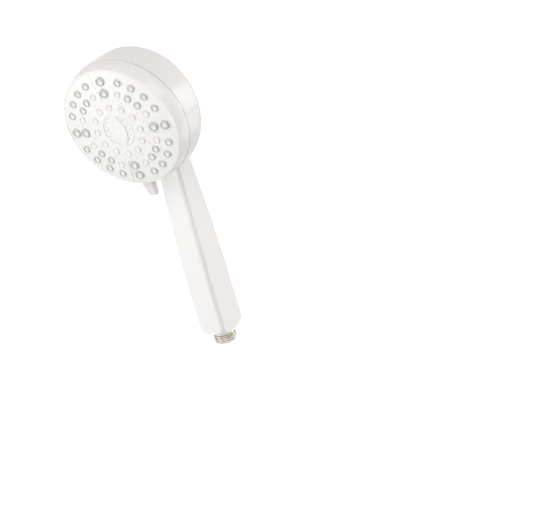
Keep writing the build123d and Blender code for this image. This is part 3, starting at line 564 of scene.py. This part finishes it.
@dataclass(frozen=True)
class NozzleSize:
    """One kind of soft nozzle, in millimetres: a rounded lip, a pale cup and the jet in it."""

    base_r: float
    cup_r: float
    rise: float
    bore_r: float
    cup_floor: float = 0.2      # above the face
    bore_depth: float = 0.7
    sink: float = 3.5           # from the face down to the back of the web
    web: float = 1.2            # thickness of the web
    web_margin: float = 0.9
    lip_steps: int = 10

    def profile(self) -> Profile:
        """Closed outline, from the middle of the back outwards and over the lip into the cup.

        Returns:
            Radius and height of each corner, in metres, with the face at height 0.
        """
        flange = self.base_r + self.web_margin
        middle, half = (self.base_r + self.cup_r) / 2, (self.base_r - self.cup_r) / 2
        turns = [math.pi * step / self.lip_steps for step in range(self.lip_steps + 1)]
        lip_height = self.rise - self.cup_floor
        lip = [
            (middle + half * math.cos(turn), self.cup_floor + lip_height * math.sin(turn))
            for turn in turns
        ]
        corners = [
            (0, -self.sink),
            (flange, -self.sink),
            (flange, self.web - self.sink),
            (self.base_r, self.web - self.sink),
            *lip,
            (self.bore_r, self.cup_floor),
            (self.bore_r, self.cup_floor - self.bore_depth),
            (0, self.cup_floor - self.bore_depth),
        ]
        return [(radius * MM, height * MM) for radius, height in corners]


@dataclass(frozen=True)
class NozzleRing:
    """Nozzles of one kind at equal steps round the face, in millimetres and degrees."""

    size: NozzleSize
    ring_r: float
    first_angle: float = 0.0
    count: int = QUARTERS


@dataclass
class SprayFace:
    """Soft nozzles of the spray face, on their webs behind it, in millimetres and degrees."""

    head: HeadFrame
    dome_r: float = 300.0
    crown: float = 3.4
    outer_r: float = 45.5
    second_r: float = 35.0
    third_r: float = 22.1
    third_count: int = 12
    large: NozzleSize = field(default_factory=lambda: NozzleSize(4.0, 2.2, 1.6, 0.5))
    small: NozzleSize = field(default_factory=lambda: NozzleSize(3.3, 1.9, 1.3, 0.4))
    white: NozzleSize = field(default_factory=lambda: NozzleSize(3.0, 1.9, 0.9, 0.35))
    outer_angles: Sequence[float] = (21.0, 37.0, 53.0, 69.0)
    second_grey_angles: Sequence[float] = (37.0, 53.0)
    second_white_angles: Sequence[float] = (21.0, 69.0)
    strip_width: float = 3.0
    web_lap: float = 7.4        # the outer web reaches in that far, under the second ring
    nozzle_sides: int = 40
    band_sides: int = 160
    band_steps: int = 4         # chords across a band, which follow the dome

    def dome(self, radius: float) -> float:
        """Height of the face at a radius."""
        return self.crown - self.dome_r + math.sqrt(self.dome_r**2 - radius**2)

    def band(self, solid: Solid, inner: float, outer: float) -> None:
        """Adds a ring of web that follows the face's dome.

        Args:
            solid: Mesh that gets the ring.
            inner: Inner radius.
            outer: Outer radius.
        """
        sink, web = self.white.sink, self.white.web
        steps = range(self.band_steps + 1)
        radii = [inner + (outer - inner) * step / self.band_steps for step in steps]
        back = [(r * MM, (self.dome(r) - sink) * MM) for r in radii]
        front = [(r * MM, (self.dome(r) - sink + web) * MM) for r in reversed(radii)]
        turn_profile(solid, back + front, self.band_sides)

    def strip(self, solid: Solid, angle: float) -> None:
        """Adds a strip of web from the third ring to a white nozzle of the second.

        Args:
            solid: Mesh that gets the strip.
            angle: The nozzle's place round the face.
        """
        middle = (self.third_r + self.second_r) / 2
        height = self.dome(middle) - self.white.sink + self.white.web / 2
        size = (self.second_r - self.third_r, self.strip_width, self.white.web)
        place = (
            Matrix.Rotation(math.radians(angle), 4, "Z")
            @ Matrix.Translation(Vector((middle, 0, height)) * MM)
            @ Matrix.Diagonal((*(side * MM for side in size), 1))
        )
        bmesh.ops.create_cube(solid, size=1.0, matrix=place)

    def ring_tree(self) -> Tree:
        """Tree that sets one kind of nozzle round the face.

        Returns:
            A tree with named inputs for the ring's sizes.
        """
        tree, sizes = start_tree("nozzle_ring", {
            "Nozzle": "NodeSocketObject",
            "Count": "NodeSocketInt",
            "Ring Radius": "NodeSocketFloat",
            "First Angle": "NodeSocketFloat",
            "Height": "NodeSocketFloat",
            "Head Place": "NodeSocketVector",
            "Head Lean": "NodeSocketFloat",
            "Finish": "NodeSocketMaterial",
        })
        given = sizes.outputs
        ring = add_node(
            tree, "GeometryNodeMeshCircle",
            {"Vertices": given["Count"], "Radius": given["Ring Radius"]},
        )
        lift = add_node(tree, "ShaderNodeCombineXYZ", {"Z": given["Height"]})
        start = add_node(tree, "ShaderNodeCombineXYZ", {"Z": given["First Angle"]})
        spots = add_node(
            tree, "GeometryNodeTransform",
            {
                "Geometry": ring.outputs["Mesh"],
                "Translation": lift.outputs[0],
                "Rotation": start.outputs[0],
            },
        )
        nozzle = add_node(tree, "GeometryNodeObjectInfo", {"Object": given["Nozzle"]})
        placed = add_node(
            tree, "GeometryNodeInstanceOnPoints",
            {"Points": spots.outputs["Geometry"], "Instance": nozzle.outputs["Geometry"]},
        )
        lean = add_node(tree, "ShaderNodeCombineXYZ", {"X": given["Head Lean"]})
        on_head = add_node(
            tree, "GeometryNodeTransform",
            {
                "Geometry": placed.outputs["Instances"],
                "Translation": given["Head Place"],
                "Rotation": lean.outputs[0],
            },
        )
        end_tree(tree, (given["Geometry"], on_head.outputs["Geometry"]), given["Finish"])
        return tree

    def prototype(self, name: str, size: NozzleSize) -> Piece:
        """One nozzle at the origin, with its cup and bore marked by an attribute for the painted highlight.

        Args:
            name: The object's name.
            size: The nozzle's sizes.

        Returns:
            An object for the tree to copy, to be removed afterwards.
        """
        solid = bmesh.new()
        turn_profile(solid, size.profile(), self.nozzle_sides)
        made = mesh_object(name, solid)
        # cup and bore marked for a painted highlight; the bore is painted pale though it lies in shade
        tip = made.data.attributes.new(PAINTED_HIGHLIGHT_ATTRIBUTE, "FLOAT", "POINT")
        for vertex, mark in zip(made.data.vertices, tip.data):
            above_web = vertex.co.z > -size.web * MM
            within_cup = vertex.co.xy.length < (size.cup_r + CUP_EDGE) * MM
            mark.value = float(above_web and within_cup)
        return made

    def build(
        self, name: str, node: str, slot: Slot, rings: Sequence[NozzleRing], web: Solid,
        finish: Material,
    ) -> None:
        """Builds one moulding of nozzles and its web.

        Args:
            name: Name of the piece.
            node: Node that it stands for.
            slot: Its material slot; not used.
            rings: The rings of nozzles on it.
            web: The web, in the head's frame.
            finish: Its material.
        """
        web.transform(self.head.matrix)
        piece = mesh_object(name, web)
        tree = self.ring_tree()
        kinds = dict.fromkeys(ring.size for ring in rings)
        models = {size: self.prototype(f"{name}_model", size) for size in kinds}
        for ring in rings:
            apply_tree(piece, tree, {
                "Nozzle": models[ring.size],
                "Count": ring.count,
                "Ring Radius": ring.ring_r * MM,
                "First Angle": math.radians(ring.first_angle),
                "Height": self.dome(ring.ring_r) * MM,
                "Head Place": self.head.origin,
                "Head Lean": self.head.lean,
                "Finish": finish,
            })
        realise(piece)
        for model in models.values():
            bpy.data.objects.remove(model)
        place_piece(piece, node, Body.SPRAY_HEAD)

    def build_grey(self, finish: Material) -> None:
        """Builds the grey moulding: the outer ring and the grey nozzles of the second.

        Args:
            finish: Its material.
        """
        rings = [NozzleRing(self.large, radius) for radius in (self.outer_r, self.second_r)]
        rings += [NozzleRing(self.small, self.outer_r, angle) for angle in self.outer_angles]
        rings += [
            NozzleRing(self.small, self.second_r, angle) for angle in self.second_grey_angles
        ]
        reach = self.large.base_r + self.large.web_margin
        web = bmesh.new()
        self.band(web, self.outer_r - self.web_lap, self.outer_r + reach)
        self.build("grey_soft_nozzles", "grey_nozzles", Slot.GREY_NOZZLE, rings, web, finish)

    def build_white(self, finish: Material) -> None:
        """Builds the white moulding: the third ring and the white nozzles of the second.

        Args:
            finish: Its material.
        """
        rings = [NozzleRing(self.white, self.second_r, angle) for angle in self.second_white_angles]
        rings.append(NozzleRing(self.white, self.third_r, count=self.third_count))
        reach = self.white.base_r + self.white.web_margin
        web = bmesh.new()
        self.band(web, self.third_r - reach, self.third_r + reach)
        for quarter in range(QUARTERS):
            for angle in self.second_white_angles:
                self.strip(web, 360 / QUARTERS * quarter + angle)
        self.build("white_soft_nozzles", "white_nozzles", Slot.WHITE_NOZZLE, rings, web, finish)


@dataclass
class InletFitting:
    """Half-inch pipe inlet with its thread cut, in millimetres."""

    crest_r: float = 10.48
    thread_depth: float = 1.16
    pitch: float = 1.814
    thread_length: float = 10.0
    collar_r: float = 10.9
    collar_height: float = 2.2
    collar_round: float = 0.5
    shank_r: float = 9.8
    shank_length: float = 22.0
    pocket_r: float = 7.5
    pocket_depth: float = 6.2
    waterway_r: float = 5.2
    socket_r: float = 7.1
    socket_depth: float = 8.0
    chamfer: float = 0.8
    runout: float = 1.6         # plain neck between the thread and the collar
    ridge_taper: float = 0.08   # share of the thread over which each end of it rises
    ridge_sides: int = 3
    turn_steps: int = 64        # chords in each turn of the ridge
    round_steps: int = 6        # chords in each round of the collar
    sides: int = 96

    def profile(self) -> Profile:
        """Closed outline of the fitting without its ridge.

        Returns:
            Radius and height of each corner, in metres.
        """
        root = self.crest_r - self.thread_depth
        foot = self.thread_length + self.collar_height
        top = foot + self.shank_length
        edge, turn = self.collar_r - self.collar_round, self.collar_round
        corners = [
            (self.pocket_r, 0),
            (root - self.chamfer, 0),
            (root, self.chamfer),
            (root, self.thread_length),
            *arc((edge, self.thread_length + turn), turn, -90, 0, self.round_steps),
            *arc((edge, foot - turn), turn, 0, 90, self.round_steps),
            (self.shank_r, foot),
            (self.shank_r, top),
            (self.socket_r, top),
            (self.socket_r, top - self.socket_depth),
            (self.waterway_r, top - self.socket_depth),
            (self.waterway_r, self.pocket_depth),
            (self.pocket_r, self.pocket_depth),
        ]
        return [(radius * MM, height * MM) for radius, height in corners]

    def thread_tree(self) -> Tree:
        """Tree that winds a three-sided ridge round the root of the thread.

        Returns:
            A tree with named inputs for the thread's sizes.
        """
        tree, sizes = start_tree("pipe_thread", {
            "Crest Radius": "NodeSocketFloat",
            "Ridge Radius": "NodeSocketFloat",
            "Ridge Sides": "NodeSocketInt",
            "Turns": "NodeSocketFloat",
            "Turn Steps": "NodeSocketInt",
            "Length": "NodeSocketFloat",
            "Start": "NodeSocketFloat",
            "Taper": "NodeSocketFloat",
            "Finish": "NodeSocketMaterial",
        })
        given = sizes.outputs
        middle = add_node(
            tree, "ShaderNodeMath",
            {0: given["Crest Radius"], 1: given["Ridge Radius"]},
            operation="SUBTRACT",
        )
        wound = add_node(
            tree, "GeometryNodeCurveSpiral",
            {
                "Resolution": given["Turn Steps"],
                "Rotations": given["Turns"],
                "Start Radius": middle.outputs[0],
                "End Radius": middle.outputs[0],
                "Height": given["Length"],
            },
        )
        along = add_node(tree, "GeometryNodeSplineParameter").outputs["Factor"]
        left = add_node(tree, "ShaderNodeMath", {0: 1.0, 1: along}, operation="SUBTRACT")
        nearer = add_node(
            tree, "ShaderNodeMath", {0: along, 1: left.outputs[0]}, operation="MINIMUM"
        )
        height = add_node(
            tree, "ShaderNodeMath",
            {0: nearer.outputs[0], 1: given["Taper"]},
            operation="DIVIDE", use_clamp=True,
        )
        tapered = add_node(
            tree, "GeometryNodeSetCurveRadius",
            {"Curve": wound.outputs["Curve"], "Radius": height.outputs[0]},
        )
        upright = add_node(tree, "GeometryNodeSetCurveNormal", {0: tapered.outputs["Curve"]})
        section = add_node(
            tree, "GeometryNodeCurvePrimitiveCircle",
            {"Resolution": given["Ridge Sides"], "Radius": given["Ridge Radius"]},
        )
        ridge = add_node(
            tree, "GeometryNodeCurveToMesh",
            {
                "Curve": upright.outputs[0],
                "Profile Curve": section.outputs["Curve"],
                "Fill Caps": True,
            },
        )
        lift = add_node(tree, "ShaderNodeCombineXYZ", {"Z": given["Start"]})
        placed = add_node(
            tree, "GeometryNodeTransform",
            {"Geometry": ridge.outputs["Mesh"], "Translation": lift.outputs[0]},
        )
        end_tree(tree, (given["Geometry"], placed.outputs["Geometry"]), given["Finish"])
        return tree

    def build(self, finish: Material) -> None:
        """Builds the fitting and its thread.

        Args:
            finish: Its material.
        """
        solid = bmesh.new()
        turn_profile(solid, self.profile(), self.sides)
        piece = mesh_object("threaded_inlet", solid)
        ridge_r = self.pitch / math.sqrt(3)     # centre to corner, with sides as long as the pitch
        start = self.pitch / 2 + self.chamfer
        length = self.thread_length - self.runout - start
        apply_tree(piece, self.thread_tree(), {
            "Crest Radius": self.crest_r * MM,
            "Ridge Radius": ridge_r * MM,
            "Ridge Sides": self.ridge_sides,
            "Turns": length / self.pitch,
            "Turn Steps": self.turn_steps,
            "Length": length * MM,
            "Start": start * MM,
            "Taper": self.ridge_taper,
            "Finish": finish,
        })
        realise(piece)
        place_piece(piece, "inlet_nipple", Body.WAND)


def dress_nodes(
    nodes: dict[str, Piece], record: dict[str, Any], finishes: dict[str, Material]
) -> None:
    """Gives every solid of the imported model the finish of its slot.

    Args:
        nodes: Object by node name.
        record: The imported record.
        finishes: Material by slot name.
    """
    for subpart in record["subparts"]:
        mesh = nodes[subpart["node"]].data
        mesh.materials.clear()
        mesh.materials.append(finishes[subpart["material_slot"]])
        LOG.info("%s wears %s", subpart["node"], subpart["material_slot"])


# Studio


def view_axes(azimuth: float, elevation: float, roll: float = 0.0) -> Matrix:
    """Axes of a camera that looks at the object.

    Args:
        azimuth: Degrees round Z, from -Y towards +X.
        elevation: Degrees above the horizon.
        roll: Degrees about the line of sight.

    Returns:
        A turn whose columns point right, up and back.
    """
    round_z = Matrix.Rotation(math.radians(azimuth), 3, "Z")
    tilt = Matrix.Rotation(math.radians(90 - elevation), 3, "X")
    return round_z @ tilt @ Matrix.Rotation(math.radians(roll), 3, "Z")


@dataclass(frozen=True)
class Softbox:
    """Square lamp that faces the object, in degrees and metres."""

    name: str
    azimuth: float
    elevation: float
    level: float                # brightness of its face, where 1 is white
    colour: str = WHITE
    distance: float = 1.1
    side: float = 0.5

    def build(self, target: Vector) -> None:
        """Hangs the lamp round a point.

        Args:
            target: Point that it faces.
        """
        lamp = bpy.data.lights.new(self.name, "AREA")
        lamp.energy = math.pi * self.side**2 * self.level
        lamp.size = self.side
        lamp.color = linear(self.colour)[:3]
        made = bpy.data.objects.new(self.name, lamp)
        away = view_axes(self.azimuth, self.elevation).col[2].to_3d()
        made.location = target + away * self.distance
        made.rotation_euler = away.to_track_quat("Z", "Y").to_euler()
        bpy.context.scene.collection.objects.link(made)


@dataclass
class Studio:
    """Pale floor, soft lamps, white surroundings and the camera, in metres and degrees."""

    floor_height: float = -0.75
    floor_side: float = 24.0
    floor_colour: str = "#E8E8E8"
    floor_lift: float = 0.74    # white added to the floor as the eye and reflections see it
    fill: float = 0.42          # light of the surroundings on the object
    azimuth: float = 34.383
    elevation: float = 20.787
    roll: float = -15.894
    eye: Vector = field(default_factory=lambda: Vector((0.8648, -1.1689, 0.6113)))
    focal_px: float = 1732.1    # focal length in the photograph's pixels
    sight: float = 100.0        # how far the camera sees
    lamps: Sequence[Softbox] = (
        Softbox("left_softbox", -40.0, 5.0, 4.2),
        Softbox("left_low_softbox", -40.0, -25.0, 1.0),
        Softbox("left_top_softbox", -40.0, 40.0, 1.3),
        Softbox("front_left_softbox", 5.0, 5.0, 1.8),
        Softbox("front_softbox", 34.0, 5.0, 0.8),
        Softbox("front_top_softbox", 34.0, 40.0, 3.8, WARM_WHITE),
        Softbox("right_softbox", 142.0, 5.0, 3.0, WARM_WHITE),
        Softbox("right_low_softbox", 142.0, -25.0, 1.6, WARM_WHITE),
        Softbox("right_top_softbox", 100.0, 40.0, 2.1, WARM_WHITE),
    )

    def shown_white(self, tree: Tree) -> Socket:
        """Adds a switch that is on where the eye, a reflection or clear glass sees the surface.

        Args:
            tree: Tree of a material or of the world.

        Returns:
            A socket that is one on those rays.
        """
        rays = add_node(tree, "ShaderNodeLightPath").outputs
        seen = rays["Is Camera Ray"]
        for ray in ("Is Glossy Ray", "Is Transmission Ray"):
            either = add_node(tree, "ShaderNodeMath", {0: seen, 1: rays[ray]}, operation="MAXIMUM")
            seen = either.outputs[0]
        return seen

    def build_world(self) -> None:
        """White all round for the eye and in reflections, and a soft fill on the object."""
        world = bpy.data.worlds.new("studio")
        bpy.context.scene.world = world
        world.use_nodes = True
        tree = world.node_tree
        tree.nodes.clear()
        level = add_node(
            tree, "ShaderNodeMix",
            {"Factor": self.shown_white(tree), "A": self.fill, "B": 1.0},
            data_type="FLOAT",
        )
        shine = add_node(
            tree, "ShaderNodeBackground",
            {"Color": linear(WHITE), "Strength": level.outputs["Result"]},
        )
        add_node(tree, "ShaderNodeOutputWorld", {"Surface": shine.outputs["Background"]})

    def build_floor(self) -> None:
        """Pale floor below the object."""
        solid = bmesh.new()
        bmesh.ops.create_grid(solid, x_segments=1, y_segments=1, size=self.floor_side / 2)
        bmesh.ops.translate(solid, verts=solid.verts, vec=(0, 0, self.floor_height))
        floor = mesh_object("floor", solid)
        paint = bpy.data.materials.new("pale_floor")
        paint.use_nodes = True
        tree = paint.node_tree
        tree.nodes.clear()
        matte = add_node(tree, "ShaderNodeBsdfDiffuse", {"Color": linear(self.floor_colour)})
        lift = add_node(
            tree, "ShaderNodeMath",
            {0: self.shown_white(tree), 1: self.floor_lift},
            operation="MULTIPLY",
        )
        white = add_node(
            tree, "ShaderNodeEmission", {"Color": linear(WHITE), "Strength": lift.outputs[0]}
        )
        both = add_node(
            tree, "ShaderNodeAddShader", {0: matte.outputs["BSDF"], 1: white.outputs["Emission"]}
        )
        add_node(tree, "ShaderNodeOutputMaterial", {"Surface": both.outputs["Shader"]})
        floor.data.materials.append(paint)

    def build_camera(self) -> None:
        """Camera at the photograph's place and angle."""
        lens = bpy.data.cameras.new("camera")
        lens.sensor_width = SENSOR_WIDTH_MM
        lens.lens = self.focal_px * SENSOR_WIDTH_MM / PHOTO_WIDTH_PX
        lens.clip_end = self.sight
        camera = bpy.data.objects.new("camera", lens)
        camera.location = self.eye
        camera.rotation_euler = view_axes(self.azimuth, self.elevation, self.roll).to_euler()
        bpy.context.scene.collection.objects.link(camera)
        bpy.context.scene.camera = camera

    def build(self, target: Vector) -> None:
        """Builds the whole studio round a point.

        Args:
            target: Point that the lamps face.
        """
        bpy.context.scene.view_settings.view_transform = "Standard"
        self.build_world()
        self.build_floor()
        for lamp in self.lamps:
            lamp.build(target)
        self.build_camera()


def main() -> None:
    """Builds the pieces, the finishes and the studio."""
    logging.basicConfig(level=logging.INFO, format="%(name)s: %(message)s")
    finishes = {slot.value: finish.material() for slot, finish in FINISHES.items()}
    dress_nodes(frame["nodes"], frame["record"], finishes)
    face = SprayFace(HeadFrame.from_joints(frame["joints"]))
    face.build_grey(finishes[Slot.GREY_NOZZLE.value])
    face.build_white(finishes[Slot.WHITE_NOZZLE.value])
    InletFitting().build(finishes[Slot.INLET.value])
    Studio().build((CAD_BOX[0] + CAD_BOX[1]) / 2)


if __name__ == "__main__":
    main()
